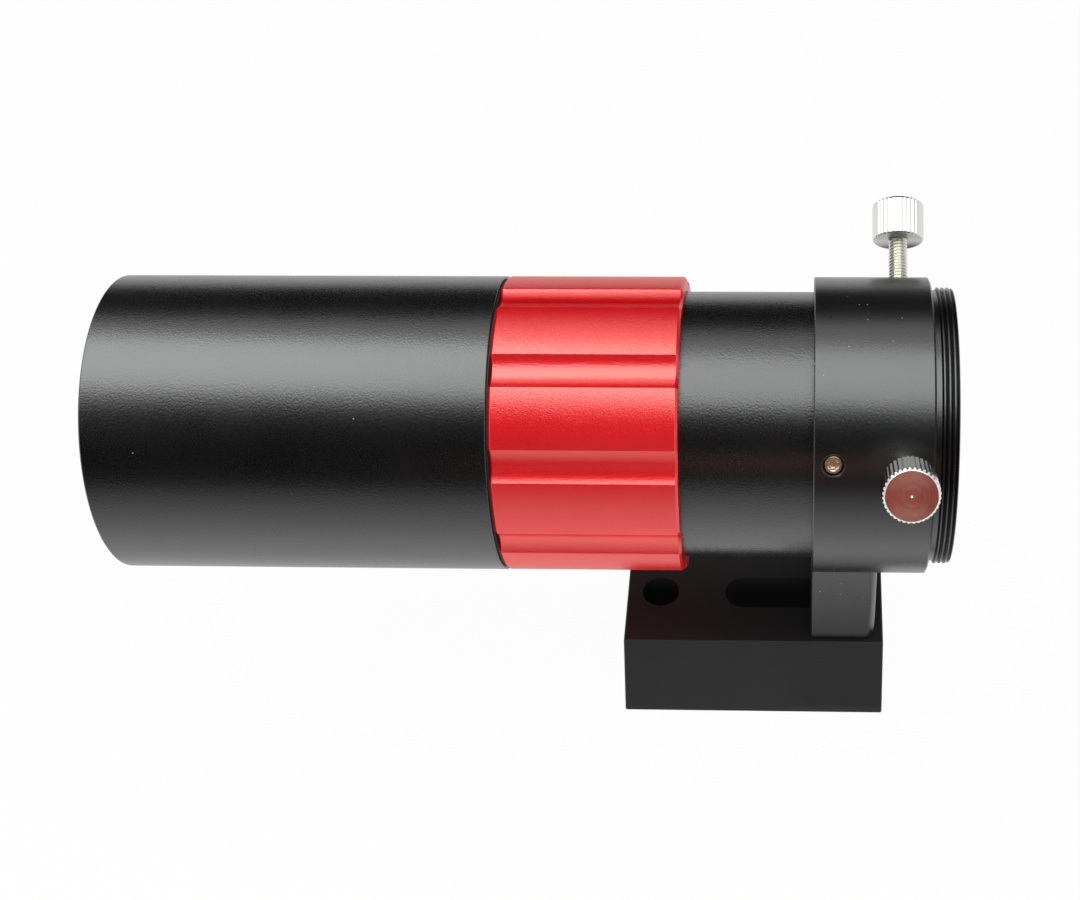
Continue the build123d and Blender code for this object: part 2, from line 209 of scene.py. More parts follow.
def crest_wave(phase, flat=0.12):
    """Thread profile from 0 at the root to 1 at the crest: a triangle with a narrow flat at both."""
    triangle = 1 - np.abs(2 * (phase % 1.0) - 1)
    return np.clip((triangle - flat) / (1 - 2 * flat), 0, 1)


def fade(value, start, end):
    """Smooth step from 0 at start to 1 at end."""
    t = np.clip((value - start) / (end - start), 0, 1)
    return t * t * (3 - 2 * t)


def full_turn(columns):
    """Evenly spaced angles once round, as one row."""
    return np.linspace(0, 2 * pi, columns, endpoint=False)[None, :]


# ---------------------------------------------------------------- pieces

def fluted_lock_ring():
    """Ring whose outside is the lower of a circle and ten round hollows.

    The hollow is a circle of its own radius centred outside the ring. The two are joined with a
    smooth minimum, so each flute edge is a small rounding. Bore and faces are plain.
    """
    rim_drop = BODY_R - sqrt(BODY_R ** 2 - (FLUTE_WIDTH / 2) ** 2)
    hollow = FLUTE_DEPTH - rim_drop
    cutter = ((FLUTE_WIDTH / 2) ** 2 + hollow ** 2) / (2 * hollow)
    reach = BODY_R - FLUTE_DEPTH + cutter
    edge = np.arcsin(FLUTE_WIDTH / 2 / BODY_R)
    band = radians(0.5)
    half = pi / FLUTES
    local = np.concatenate([
        np.linspace(-half, -edge - band, 8, endpoint=False),
        np.linspace(-edge - band, -edge + band, 16, endpoint=False),
        np.linspace(-edge + band, edge - band, 24, endpoint=False),
        np.linspace(edge - band, edge + band, 16, endpoint=False),
        np.linspace(edge + band, half, 8, endpoint=False),
    ])
    under = np.clip(cutter ** 2 - (reach * np.sin(local)) ** 2, 0, None)
    inside = under > 0
    flute = np.where(inside, reach * np.cos(local) - np.sqrt(under), BODY_R * 2)
    blend = np.clip(0.5 + 0.5 * (flute - BODY_R) / FLUTE_EDGE, 0, 1)
    outside = flute + (BODY_R - flute) * blend - FLUTE_EDGE * blend * (1 - blend)
    outside = np.where(inside, outside, BODY_R)
    starts = pi / 2 + FLUTE_PHASE + np.arange(FLUTES) * 2 * pi / FLUTES
    angle = (starts[:, None] + local[None, :]).reshape(1, -1)
    drop = np.tile(BODY_R - outside, FLUTES)[None, :]
    front, rear = RING_LOW.x, RING_HIGH.x
    step = front + RING_THREAD_LENGTH
    corners = [
        (front, BODY_R - RING_CHAMFER, 0.06 * MM, 1),
        (front + RING_CHAMFER, BODY_R, 0.08 * MM, 1),
        (rear - RING_CHAMFER, BODY_R, 0.10 * MM, 1),
        (rear, BODY_R - RING_CHAMFER, 0.08 * MM, 1),
        (rear, RING_CLEAR_BORE, 0.1 * MM, 0),
        (step, RING_CLEAR_BORE, 0.05 * MM, 0),
        (step, RING_THREAD_BORE, 0.05 * MM, 0),
        (front, RING_THREAD_BORE, 0.1 * MM, 0),
    ]
    outline = rounded(corners)
    x, radius, weight = outline[:, 0:1], outline[:, 1:2], outline[:, 3:4]
    grid = about_tube(x, radius - weight * drop, angle)
    return skin("fluted_lock_ring", grid)


def dew_shield_barrel():
    """Turned barrel: rounded rims outside, and a helical glare thread inside the dew shield.

    The glare thread's radius falls from its root to its crest by a triangle wave of station over
    pitch less angle over a turn, faded out at both ends.
    """
    front, rear = BARREL_LOW.x, BARREL_HIGH.x
    stop_front, stop_rear = front + CELL_STOP_FRONT, front + CELL_STOP_REAR
    glare_end = front + GLARE_START + GLARE_TURNS * GLARE_PITCH + 0.5 * MM
    corners = [
        (front, BODY_R - BARREL_FRONT_CHAMFER, 0.06 * MM, 0),
        (front + BARREL_FRONT_CHAMFER, BODY_R, 0.08 * MM, 0),
        (rear - BARREL_REAR_CHAMFER, BODY_R, 0.05 * MM, 0),
        (rear, BODY_R - BARREL_REAR_CHAMFER, 0.04 * MM, 0),
        (rear, NUT_BORE, 0.08 * MM, 0),
        (stop_rear, NUT_BORE, 0.1 * MM, 0),
        (stop_rear, CELL_STOP_R, 0.1 * MM, 0),
        (stop_front, CELL_STOP_R, 0.1 * MM, 0),
        (stop_front, CELL_BORE, 0.05 * MM, 0),
        (glare_end, CELL_BORE, 0.1 * MM, 0),
        (glare_end, GLARE_ROOT, 0.08 * MM, 1),
        (front, GLARE_ROOT, 0.12 * MM, 1),
    ]
    outline = rounded(corners)
    per_corner = len(outline) // len(corners)
    split = 11 * per_corner
    thread_x = np.linspace(glare_end - 0.15 * MM, front + 0.3 * MM, GLARE_TURNS * 8)
    nothing = np.zeros_like(thread_x)
    thread = np.stack([thread_x, nothing + GLARE_ROOT, nothing, nothing + 1], axis=1)
    rows = np.concatenate([outline[:split], thread, outline[split:]])
    x, radius, weight = rows[:, 0:1], rows[:, 1:2], rows[:, 3:4]
    angle = full_turn(224)
    run_in = fade(x, front + 0.5 * MM, front + 1.2 * MM)
    run_out = 1 - fade(x, glare_end - 0.9 * MM, glare_end - 0.3 * MM)
    level = weight * run_in * run_out
    wave = crest_wave(x / GLARE_PITCH - angle / (2 * pi))
    grid = about_tube(x, radius - level * wave * (GLARE_ROOT - GLARE_CREST), angle)
    return skin("dew_shield_barrel", grid)


def threaded_draw_tube():
    """Tube with a helical focusing thread in front and a smooth part behind.

    The thread's radius rises from root to crest by a triangle wave of station over pitch less angle
    over a turn.
    """
    front, rear = TUBE_LOW.x, TUBE_HIGH.x
    end = front + FOCUS_LENGTH
    corners = [
        (front, FOCUS_ROOT, 0.1 * MM, 1),
        (end, FOCUS_ROOT, 0.05 * MM, 0),
        (end, TUBE_R, 0.1 * MM, 0),
        (rear, TUBE_R, 0.1 * MM, 0),
        (rear, TUBE_BORE, 0.1 * MM, 0),
        (front, TUBE_BORE, 0.1 * MM, 0),
    ]
    outline = rounded(corners)
    per_corner = len(outline) // len(corners)
    thread_x = np.linspace(front + 0.15 * MM, end - 0.15 * MM, int(FOCUS_LENGTH / FOCUS_PITCH * 7))
    nothing = np.zeros_like(thread_x)
    thread = np.stack([thread_x, nothing + FOCUS_ROOT, nothing, nothing + 1], axis=1)
    rows = np.concatenate([outline[:per_corner], thread, outline[per_corner:]])
    x, radius, weight = rows[:, 0:1], rows[:, 1:2], rows[:, 3:4]
    angle = full_turn(160)
    run_in = fade(x, front + 0.2 * MM, front + 1.2 * MM)
    run_out = 1 - fade(x, end - 0.8 * MM, end - 0.2 * MM)
    level = weight * run_in * run_out
    wave = crest_wave(x / FOCUS_PITCH - angle / (2 * pi))
    grid = about_tube(x, radius + level * wave * (FOCUS_CREST - FOCUS_ROOT), angle)
    return skin("threaded_draw_tube", grid)


def knurled_head(side):
    """Thumbscrew head: a turned profile cut by a straight knurl.

    Its radius is the lower of the profile and the knurl, where the knurl is the head's radius less
    a triangle wave of the angle. The outer face is turned: its height is a cosine of the radius, and
    a centre dimple is left in the middle.
    """
    joint = JOINTS[f"{side}_thumb_turn"]
    base, outward = Vector(joint["pos_m"]), -Vector(joint["axis"])
    top = HEAD_LENGTH
    corners = [
        (0, HEAD_R - HEAD_EDGE, 0.03 * MM, 0),
        (HEAD_EDGE, HEAD_R, 0.03 * MM, 0),
        (top - HEAD_BEVEL, HEAD_R, 0.08 * MM, 0),
        (top, HEAD_R - HEAD_BEVEL, 0.07 * MM, 0),
        (top, DIMPLE_R, 0.04 * MM, 0),
        (top - DIMPLE_DEPTH, 0.04 * MM, 0.02 * MM, 0),
    ]
    outline = rounded(corners)
    rim = len(outline) // len(corners) * 4
    reach = np.linspace(HEAD_R - HEAD_BEVEL - 0.13 * MM, 0.30 * MM, 130)
    lift = FACE_WAVE * np.clip(reach / HEAD_R * 1.6, 0, 1) * (np.cos(2 * pi * reach / FACE_PITCH) - 1)
    face = np.stack([top + lift, reach, reach * 0, reach * 0], axis=1)
    outline = np.concatenate([outline[1:rim], face, outline[rim:-1]])
    height, radius = outline[:, 0:1], outline[:, 1:2]
    angle = full_turn(KNURL_TEETH * 6)
    knurl = HEAD_R - KNURL_DEPTH * (1 - crest_wave(angle * KNURL_TEETH / (2 * pi), 0.1))
    soft = 0.02 * MM
    mix = np.clip(0.5 + 0.5 * (knurl - radius) / soft, 0, 1)
    lower = knurl + (radius - knurl) * mix - soft * mix * (1 - mix)
    grid = about_axis(base, outward, height, lower, angle)
    middle_low = np.array(base)
    middle_top = np.array(base + outward * (top - DIMPLE_DEPTH - 0.01 * MM))
    return skin(f"{side}_knurled_head", grid, closed_rows=False, poles=(middle_low, middle_top))


def screw_thread(side):
    """Thumbscrew shank: a right-handed helical thread between a coned tip and the head.

    Its radius rises from root to crest by a triangle wave of height over pitch less angle over a
    turn, faded out at both ends.
    """
    joint = JOINTS[f"{side}_thumb_turn"]
    base, outward = Vector(joint["pos_m"]), -Vector(joint["axis"])
    tip = -SHANK_LENGTH
    body = np.linspace(tip + 0.55 * MM, 0.6 * MM, int(SHANK_LENGTH / SHANK_PITCH * 9))
    height = np.concatenate([[tip, tip + 0.02 * MM, tip + 0.25 * MM, tip + 0.5 * MM], body])[:, None]
    cone = np.clip((height - tip) / (0.5 * MM), 0, 1)
    radius = (SHANK_ROOT - 0.25 * MM) + 0.25 * MM * cone
    angle = full_turn(48)
    level = fade(height, tip + 0.4 * MM, tip + 0.9 * MM)
    wave = crest_wave(height / SHANK_PITCH - angle / (2 * pi))
    grid = about_axis(base, outward, height, radius + level * wave * (SHANK_CREST - SHANK_ROOT), angle)
    ends = (np.array(base + outward * tip), np.array(base + outward * 0.6 * MM))
    return skin(f"{side}_screw_thread", grid, closed_rows=False, poles=ends)


def grub_axis(turn):
    """Direction from the tube axis out through a grub screw."""
    return Vector((0, -sin(turn), cos(turn)))


def grub_screw(side, turn):
    """Hex-socket grub screw seen end on.

    The profile is turned, and in the socket its radius is the distance from the middle to the side
    of a hexagon: half the width across flats over the cosine of the angle from the nearest flat.
    """
    direction = grub_axis(turn)
    base = Vector((GRUB_STATION, 0, AXIS_Z)) + direction * (GRUB_OUTER - GRUB_LENGTH)
    top = GRUB_LENGTH
    flat = GRUB_HEX / 2
    corners = [
        (0, GRUB_R - 0.4 * MM, 0.05 * MM, 0),
        (0.4 * MM, GRUB_R, 0.05 * MM, 0),
        (top - 0.3 * MM, GRUB_R, 0.05 * MM, 0),
        (top, GRUB_R - 0.28 * MM, 0.07 * MM, 0),
        (top, flat * 1.22, 0.05 * MM, 0),
        (top - 0.12 * MM, flat, 0.04 * MM, 1),
        (top - 1.0 * MM, flat, 0.04 * MM, 1),
        (top - 1.3 * MM, 0.06 * MM, 0.03 * MM, 0),
    ]
    outline = rounded(corners)[1:-1]
    height, radius, weight = outline[:, 0:1], outline[:, 1:2], outline[:, 3:4]
    angle = full_turn(120)
    hexagon = 1 / np.cos((angle + pi / 6) % (pi / 3) - pi / 6)
    grid = about_axis(base, direction, height, radius * (1 + weight * (hexagon - 1)), angle)
    ends = (np.array(base), np.array(base + direction * (top - 1.31 * MM)))
    return skin(f"{side}_grub_screw", grid, closed_rows=False, poles=ends)


def lens_piece(name, curves):
    """Round lens between two spherical faces, over the box of its node.

    A face is set back from its vertex by its curve less the root of the curve squared less the
    radius squared. The rim is a cylinder with a small bevel at each end.
    """
    low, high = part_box(name)
    rim = (high.y - low.y) / 2

    def depth(curve, radius):
        return np.sign(curve) * (abs(curve) - np.sqrt(curve ** 2 - radius ** 2))

    front_curve, rear_curve = curves
    front = low.x - min(depth(front_curve, rim), 0)
    rear = high.x + min(depth(rear_curve, rim), 0)
    reach = np.linspace(0, rim - LENS_BEVEL, 48)[1:]
    front_face = np.stack([front + depth(front_curve, reach), reach], axis=1)
    rear_face = np.stack([rear - depth(rear_curve, reach), reach], axis=1)[::-1]
    wall = np.linspace(front_face[-1, 0] + LENS_BEVEL, rear_face[0, 0] - LENS_BEVEL, 5)
    rows = np.concatenate([front_face, np.stack([wall, np.full_like(wall, rim)], axis=1), rear_face])
    grid = about_tube(rows[:, 0:1], rows[:, 1:2], full_turn(160))
    ends = (np.array([front, 0, AXIS_Z]), np.array([rear, 0, AXIS_Z]))
    return skin(f"{name}_element", grid, closed_rows=False, poles=ends)


# ---------------------------------------------------------------- finishes

class Signal:
    """A shader socket that joins in sums: each operator adds its Math node."""

    def __init__(self, finish, socket):
        self.finish = finish
        self.socket = socket

    def sum(self, operation, first, second):
        return self.finish.add("ShaderNodeMath", {"operation": operation}, {0: first, 1: second})

    def __add__(self, other):
        return self.sum("ADD", self, other)

    def __sub__(self, other):
        return self.sum("SUBTRACT", self, other)

    def __rsub__(self, other):
        return self.sum("SUBTRACT", other, self)

    def __mul__(self, other):
        return self.sum("MULTIPLY", self, other)

    __radd__ = __add__
    __rmul__ = __mul__


class Nodes:
    """The nodes of a material or a world. add() makes one, sets it up, and gives back an output."""

    def __init__(self, owner):
        owner.use_nodes = True
        self.tree = owner.node_tree
        self.tree.nodes.clear()

    def add(self, kind, settings=None, values=None, output=0):
        node = self.tree.nodes.new(kind)
        for key, value in (settings or {}).items():
            setattr(node, key, value)
        for key, value in (values or {}).items():
            if isinstance(value, Signal):
                self.tree.links.new(value.socket, node.inputs[key])
            else:
                node.inputs[key].default_value = value
        return Signal(self, node.outputs[output]) if node.outputs else None

    def rays(self, shares):
        """Sum of the named kinds of ray, each times its share."""
        return sum(self.add("ShaderNodeLightPath", output=ray) * share for ray, share in shares.items())


class Finish(Nodes):
    """One material, built in Object coordinates."""

    def __init__(self, name):
        self.material = bpy.data.materials.new(name)
        super().__init__(self.material)
        self.place = self.add("ShaderNodeTexCoord", output="Object")

    def grain(self, size, detail=2.0, place=None):
        """Noise between 0 and 1 whose lumps are about this size in metres."""
        values = {"Vector": place or self.place, "Scale": 1 / size, "Detail": detail}
        return self.add("ShaderNodeTexNoise", None, values)

    def stretched(self, factors):
        """Object coordinates, each multiplied by its own factor."""
        return self.add("ShaderNodeVectorMath", {"operation": "MULTIPLY"}, {0: self.place, 1: factors})

    def from_axis(self, point, axis):
        """Distance from the line through a point along an axis."""
        offset = self.add("ShaderNodeVectorMath", {"operation": "SUBTRACT"}, {0: self.place, 1: tuple(point)})
        cross = self.add("ShaderNodeVectorMath", {"operation": "CROSS_PRODUCT"},
                         {0: offset, 1: tuple(Vector(axis).normalized())})
        return self.add("ShaderNodeVectorMath", {"operation": "LENGTH"}, {0: cross}, "Value")

    def along_axis(self, point, axis):
        """Distance from a point, measured along an axis."""
        offset = self.add("ShaderNodeVectorMath", {"operation": "SUBTRACT"}, {0: self.place, 1: tuple(point)})
        return self.add("ShaderNodeVectorMath", {"operation": "DOT_PRODUCT"},
                        {0: offset, 1: tuple(Vector(axis).normalized())}, "Value")

    def steps(self, signal, low, high):
        """Signal spread so that low becomes 0 and high becomes 1, held at both ends."""
        values = {"Value": signal, "From Min": low, "From Max": high}
        return self.add("ShaderNodeMapRange", {"clamp": True}, values)

    def blend(self, factor, first, second):
        """Colour from first to second by factor."""
        values = {"Factor": factor, 6: first, 7: second}
        return self.add("ShaderNodeMix", {"data_type": "RGBA"}, values, 2)

    def dust(self, spacing, share, size):
        """Mask of tiny round specks, one at most in each cell of the spacing."""
        values = {"Vector": self.place, "Scale": 1 / spacing}
        distance = self.add("ShaderNodeTexVoronoi", None, values, "Distance")
        colour = self.add("ShaderNodeTexVoronoi", None, values, "Color")
        chance = self.add("ShaderNodeSeparateColor", None, {"Color": colour}, "Red")
        near = self.steps(distance, size / spacing, size / spacing * 0.4)
        return near * self.steps(chance, 1 - share, 1 - share + 0.01)

    def relief(self, height, depth):
        """Normal bumped by a height, by that depth in metres."""
        return self.add("ShaderNodeBump", None, {"Height": height, "Strength": 1.0, "Distance": depth})

    def finish(self, *shaders):
        """Closes the material with its one shader, or with two in equal parts."""
        surfaces = [self.add("ShaderNodeBsdfPrincipled", None, values, "BSDF") for values in shaders]
        if len(surfaces) == 2:
            surfaces = [self.add("ShaderNodeMixShader", None, {0: 0.5, 1: surfaces[0], 2: surfaces[1]})]
        self.add("ShaderNodeOutputMaterial", None, {"Surface": surfaces[0]})
        return self.material


def black_anodised(name, roughness, grain_depth, dusty_share):
    """Bead-blasted black anodising: fine grain, faint cloudy sheen and a few specks of dust."""
    finish = Finish(name)
    cloud = finish.grain(9 * MM, 3.0)
    fine = finish.grain(0.30 * MM, 2.0)
    lines = finish.grain(0.5 * MM, 3.0, finish.stretched((1.0, 0.06, 0.06)))
    specks = finish.dust(1.6 * MM, dusty_share, 0.13 * MM)
    black = finish.blend(cloud, (0.0012, 0.0012, 0.0013, 1), (0.00228, 0.00228, 0.00247, 1))
    colour = finish.blend(specks * 0.8, black, (0.40, 0.39, 0.37, 1))
    sheen = roughness - 0.02 + cloud * 0.05 + (fine - 0.5) * 0.05
    height = fine * 0.8 + lines * 0.2 + specks * 0.4
    return finish.finish({"Base Color": colour, "Roughness": sheen, "IOR": 2.0,
                          "Normal": finish.relief(height, grain_depth)})


def matt_foot_black():
    """Milled and matt black anodising: soft cutter lines along the foot and a dull, even sheen."""
    finish = Finish("matt_foot_black")
    cloud = finish.grain(6 * MM, 3.0)
    fine = finish.grain(0.25 * MM, 2.0)
    cutter = finish.grain(0.35 * MM, 2.0, finish.stretched((0.04, 1.0, 1.0)))
    colour = finish.blend(cloud, (0.009, 0.009, 0.0092, 1), (0.015, 0.015, 0.0152, 1))
    sheen = 0.50 + cloud * 0.06
    return finish.finish({"Base Color": colour, "Roughness": sheen, "IOR": 1.5,
                          "Normal": finish.relief(fine * 0.6 + cutter * 0.4, 0.006 * MM)})


def red_anodised():
    """Bead-blasted red anodising: half a glossy clear layer and half rough dyed metal, with a fine grain."""
    finish = Finish("red_anodised_ring")
    cloud = finish.grain(7 * MM, 3.0)
    fine = finish.grain(0.20 * MM, 2.0)
    coarse = finish.grain(0.45 * MM, 2.0)
    deep = finish.blend(cloud, (0.78, 0.0020, 0.010, 1), (0.84, 0.0030, 0.013, 1))
    colour = finish.blend(finish.steps(fine, 0.35, 0.75) * 0.25, deep, (0.92, 0.008, 0.020, 1))
    shared = {"Base Color": colour, "Normal": finish.relief(fine * 0.7 + coarse * 0.3, 0.042 * MM)}
    wear = cloud * 0.04 + (coarse - 0.5) * 0.06
    clear = {"Roughness": wear + 0.20, "IOR": 3.0, "Specular Tint": (1, 0.97, 0.87, 1)}
    metal = {"Roughness": wear + 0.48, "Metallic": 1.0}
    return finish.finish(shared | clear, shared | metal)


def turned_steel(name, point, axis):
    """Bright steel with fine turning rings about its own axis; its underside is rougher and painted darker as
    shade.
    """
    finish = Finish(name)
    reach = finish.from_axis(point, axis)
    rings = finish.add("ShaderNodeCombineXYZ", None, {0: reach})
    ring_grain = finish.grain(0.09 * MM, 3.0, rings)
    broad = finish.grain(0.7 * MM, 1.0, rings)
    cloud = finish.grain(1.6 * MM, 2.0)
    # painted shade: the underside mask darkens the colour there, and also adds roughness
    under = finish.steps(finish.along_axis(point, axis), -0.16 * MM, -0.02 * MM)
    bright = finish.blend(cloud * 0.4 + broad * 0.6, (0.80, 0.78, 0.75, 1), (0.92, 0.91, 0.89, 1))
    colour = finish.blend(under, bright, (0.60, 0.59, 0.58, 1))
    sheen = 0.06 + cloud * 0.06 + ring_grain * 0.05 + under * 0.25
    return finish.finish({"Base Color": colour, "Metallic": 1.0, "Roughness": sheen,
                          "Normal": finish.relief(ring_grain * 0.15 + broad * 0.85, 0.009 * MM)})


def plain_steel(name, shade, roughness):
    """Machined steel with a cloudy polish and fine scratches."""
    finish = Finish(name)
    cloud = finish.grain(1.5 * MM, 3.0)
    fine = finish.grain(0.08 * MM, 2.0)
    darker = tuple(channel * 0.82 for channel in shade[:3]) + (1,)
    colour = finish.blend(cloud, darker, shade)
    return finish.finish({"Base Color": colour, "Metallic": 1.0, "Roughness": roughness + cloud * 0.08,
                          "Normal": finish.relief(fine, 0.003 * MM)})


def grub_steel(name, point, axis):
    """Yellowish zinc-plated steel, with a brown reflection painted into the bottom of the socket."""
    finish = Finish(name)
    cloud = finish.grain(0.8 * MM, 2.0)
    fine = finish.grain(0.08 * MM, 2.0)
    # painted reflection: the socket's bottom is coloured brown and made less metallic
    socket_painted_reflection = finish.steps(finish.from_axis(point, axis), 0.66 * MM, 0.50 * MM)
    zinc = finish.blend(cloud, (0.56, 0.50, 0.38, 1), (0.80, 0.74, 0.58, 1))
    colour = finish.blend(socket_painted_reflection, zinc, (0.42, 0.16, 0.08, 1))
    return finish.finish({"Base Color": colour, "Metallic": 1 - socket_painted_reflection, "Roughness": socket_painted_reflection * 0.35 + 0.13,
                          "Normal": finish.relief(fine, 0.003 * MM)})


def flat_black():
    """Matt black inside finish that swallows stray light."""
    finish = Finish("flat_black_inside")
    cloud = finish.grain(3 * MM, 3.0)
    fine = finish.grain(0.15 * MM, 3.0)
    colour = finish.blend(cloud, (0.004, 0.004, 0.0042, 1), (0.009, 0.009, 0.009, 1))
    return finish.finish({"Base Color": colour, "Roughness": 0.72 + fine * 0.12, "IOR": 1.45,
                          "Normal": finish.relief(fine, 0.02 * MM)})


def black_nylon():
    """Dull black nylon of the friction washer."""
    finish = Finish("black_nylon_washer")
    fine = finish.grain(0.2 * MM, 2.0)
    colour = finish.blend(fine, (0.008, 0.008, 0.008, 1), (0.016, 0.016, 0.016, 1))
    return finish.finish({"Base Color": colour, "Roughness": 0.5 + fine * 0.1,
                          "Normal": finish.relief(fine, 0.01 * MM)})


def coated_glass(name, film):
    """Clear lens glass with a thin coating that tints its reflections."""
    finish = Finish(name)
    haze = finish.grain(5 * MM, 2.0)
    colour = finish.blend(haze, (0.97, 0.985, 0.98, 1), (0.94, 0.965, 0.96, 1))
    return finish.finish({"Base Color": colour, "Roughness": haze * 0.02, "IOR": 1.52,
                          "Transmission Weight": 1.0, "Thin Film Thickness": film, "Thin Film IOR": 1.38})


def paint(name, material):
    """Gives a carried-over node its finish."""
    for part in frame["nodes"][name].material_slots:
        part.material = material


def dress(piece, body, material, slot_name, *nodes):
    """Puts a new piece on its body, in its finish, in place of its nodes."""
    piece.data.materials.append(material)
    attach(piece, body)
    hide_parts(*nodes)


# ---------------------------------------------------------------- studio

def sheet_card(name, corners, rays, shade, far_shade=None, span=None):
    """Flat card of the studio, seen only by the kinds of ray that are named.

    With a far shade its colour changes along Y from the first end of the span to the second.
    """
    mesh = bpy.data.meshes.new(name)
    mesh.from_pydata(corners, [], [(0, 1, 2, 3)])
    card = bpy.data.objects.new(name, mesh)
    bpy.context.scene.collection.objects.link(card)
    glow = Finish(name)
    colour = shade + (1,)
    if far_shade is not None:
        along = glow.add("ShaderNodeSeparateXYZ", None, {0: glow.place}, "Y")
        colour = glow.blend(glow.steps(along, *span), colour, far_shade + (1,))
    light = glow.add("ShaderNodeEmission", None, {"Color": colour, "Strength": 1.0})
    glow.add("ShaderNodeOutputMaterial", None, {"Surface": light})
    mesh.materials.append(glow.material)
    for kind in ("camera", "diffuse", "glossy", "transmission", "shadow", "volume_scatter"):
        setattr(card, f"visible_{kind}", kind in rays)


def white_floor():
    """Pale floor that looks white to the camera and pale in mirrors, and still takes a soft shadow."""
    mesh = bpy.data.meshes.new("studio_floor")
    mesh.from_pydata([(-6, -6, 0), (6, -6, 0), (6, 6, 0), (-6, 6, 0)], [], [(0, 1, 2, 3)])
    floor = bpy.data.objects.new("studio_floor", mesh)
    bpy.context.scene.collection.objects.link(floor)
    paper = Finish("floor_paper")
    shares = {"Is Camera Ray": 0.97, "Is Glossy Ray": 0.8, "Is Transmission Ray": 0.97}
    seen = paper.rays(shares)
    matt = paper.add("ShaderNodeBsdfDiffuse", None, {"Color": (0.7, 0.7, 0.7, 1)})
    white = paper.add("ShaderNodeEmission", None, {"Color": (1, 1, 1, 1), "Strength": 1.0})
    both = paper.add("ShaderNodeMixShader", None, {0: seen, 1: matt, 2: white})
    paper.add("ShaderNodeOutputMaterial", None, {"Surface": both})
    mesh.materials.append(paper.material)


def soft_lamp(name, centre, size, radiance, towards):
    """Rectangular lamp of even brightness that faces a point, its width level."""
    data = bpy.data.lights.new(name, "AREA")
    data.shape = "RECTANGLE"
    data.size, data.size_y = size
    data.energy = radiance * pi * size[0] * size[1]
    data.color = (0.97, 1.0, 0.985)
    lamp = bpy.data.objects.new(name, data)
    lamp.location = centre
    lamp.rotation_euler = (Vector(towards) - Vector(centre)).to_track_quat("-Z", "Y").to_euler()
    lamp.visible_camera = False
    bpy.context.scene.collection.objects.link(lamp)
    return lamp


def sky():
    """White to the camera and through glass, pale in mirrors, and a dim fill for everything else."""
    world = bpy.data.worlds.new("studio_white")
    air = Nodes(world)
    seen = air.rays({"Is Camera Ray": 1.0, "Is Glossy Ray": 0.69, "Is Transmission Ray": 1.0})
    strength = air.add("ShaderNodeMapRange", {"clamp": True}, {"Value": seen, "To Min": SKY_FILL})
    background = air.add("ShaderNodeBackground", None, {"Color": (1, 1, 1, 1), "Strength": strength})
    air.add("ShaderNodeOutputWorld", None, {"Surface": background})
    bpy.context.scene.world = world


def overhead_lamps():
    """Two large soft lamps over the tube, end to end and turned a little from its line."""
    turn = radians(-17)
    along = Vector((cos(turn), sin(turn), 0))
    middle = Vector((-0.10, -0.0265, 0.56))
    for name, centre, size, radiance in (
            ("soft_lamp_front", middle - along * 0.30 - Vector((0, 0.026, 0)), (0.56, 0.392), 2.5),
            ("soft_lamp_rear", middle + along * 0.26 - Vector((0, 0.030, 0)), (0.56, 0.422), 1.82)):
        lamp = soft_lamp(name, centre, size, radiance, centre - Vector((0, 0, 1)))
        lamp.rotation_euler = (0, 0, turn)


def low_lamps():
    """A bounce light on the floor and a lamp on the near side, neither seen in mirrors."""
    for name, centre, size, radiance in (
            ("bounce_lamp", (-0.03, -0.11, 0.002), (0.30, 0.09), 1.3),
            ("near_lamp", (-0.03, -0.50, 0.22), (0.50, 0.30), 2.2)):
        lamp = soft_lamp(name, centre, size, radiance, (-0.03, -0.02, AXIS_Z))
        lamp.visible_glossy = False


def flags_and_felts():
    """Black walls on both sides, a floor that darkens towards the near one, and a shadow painted on the floor
    beside the post, all for mirrors only.
    """
    near, wide, side = 0.75, 0.8, 1.6
    for name, y, half, low, high in (("flag_near", -near, wide, 0, 1.3),
                                     ("flag_far", near, side, 0.13, 0.95)):
        sheet_card(name, [(-half, y, low), (half, y, low), (half, y, high), (-half, y, high)], MIRRORS, BLACK)
    lift = 0.001
    for name, west, east, start, end, shade, far_shade in (
            # the first card is a painted shadow of the foot on the floor beside the post
            ("painted_shadow_by_post", 0.006, 0.036, -0.017, -0.035, 0.22, 0.80),
            ("felt_close", -wide, wide, -0.045, -0.08, 1.0, 0.73),
            ("felt_near", -wide, wide, -0.08, -0.17, 0.73, 0.41),
            ("felt_far", -wide, wide, -0.17, -near, 0.41, 0.04)):
        corners = [(west, start, lift), (east, start, lift), (east, end, lift), (west, end, lift)]
        sheet_card(name, corners, MIRRORS, (shade,) * 3, (far_shade,) * 3, (start, max(end, -0.55)))


def cards_for_near_head():
    """Coloured cards in front of the near thumbscrew, which its polished face mirrors to the camera."""
    joint = JOINTS["left_thumb_turn"]
    face = Vector(joint["pos_m"]) - Vector(joint["axis"]) * HEAD_LENGTH
    reach = 0.60
    middle = face + Vector((-0.030, -1, 0.227)) * reach
    in_front = 0.001
    for name, half, low, high, shade, nearer in (
            ("bright_card", 0.006, -0.006, 0.006, (0.80, 0.40, 0.36), in_front),
            ("warm_card", 0.085, -0.020, 0.020, (0.27, 0.028, 0.024), 0),
            ("pale_card_above", 0.085, 0.020, 0.075, (0.50, 0.29, 0.23), 0),
            ("pale_card_below", 0.085, -0.075, -0.020, (0.50, 0.29, 0.23), 0)):
        spans = ((-half, low), (half, low), (half, high), (-half, high))
        sheet_card(name, [(middle.x + x, middle.y + nearer, middle.z + z) for x, z in spans], MIRRORS, shade)


